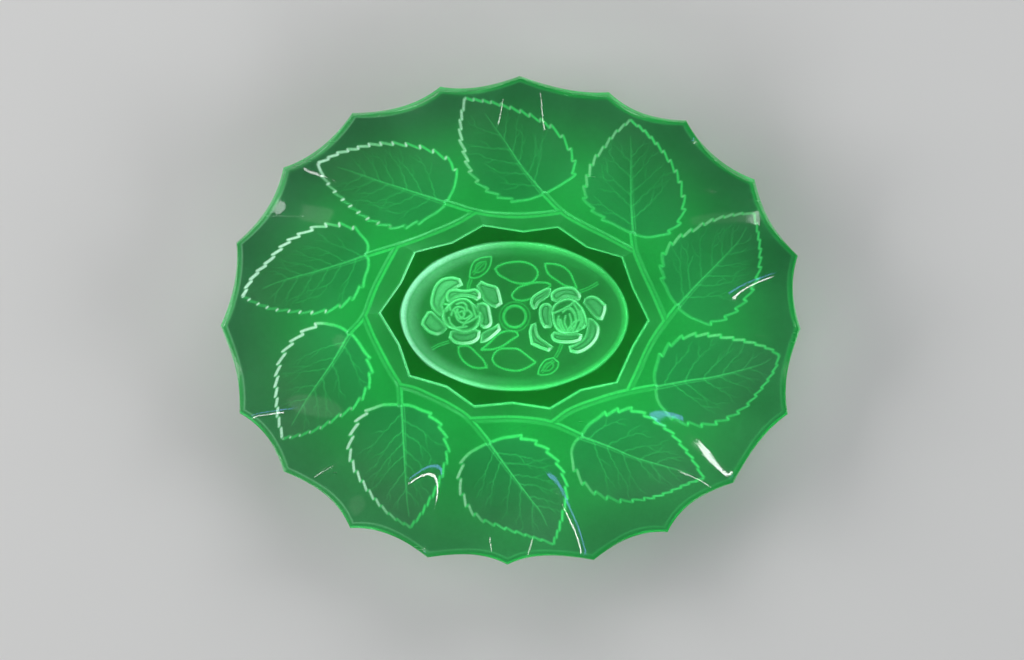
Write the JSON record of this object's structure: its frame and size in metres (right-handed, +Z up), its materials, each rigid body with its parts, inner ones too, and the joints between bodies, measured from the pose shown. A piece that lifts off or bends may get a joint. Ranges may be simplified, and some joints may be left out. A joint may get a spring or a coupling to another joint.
{
  "type": "uranium glass dish",
  "caption": "Oval pressed-glass serving dish with a waved, pointed rim, moulded leaves under a satin flange, and a star-shaped ground foot.",
  "frame": {"origin": "on the plane of the ground foot, at the middle of the rim's bounding box", "axes": "+Z up, out of the open side; +X along the long axis of the oval; +Y along the short axis"},
  "size_m": [0.3112, 0.2726, 0.0381],
  "materials": {
    "uranium_glass": "glossy on the inside, acid-satin on the moulded underside, ground and polished on the foot"
  },
  "bodies": {
    "root": {"dish": "uranium_glass"}
  },
  "joints": []
}
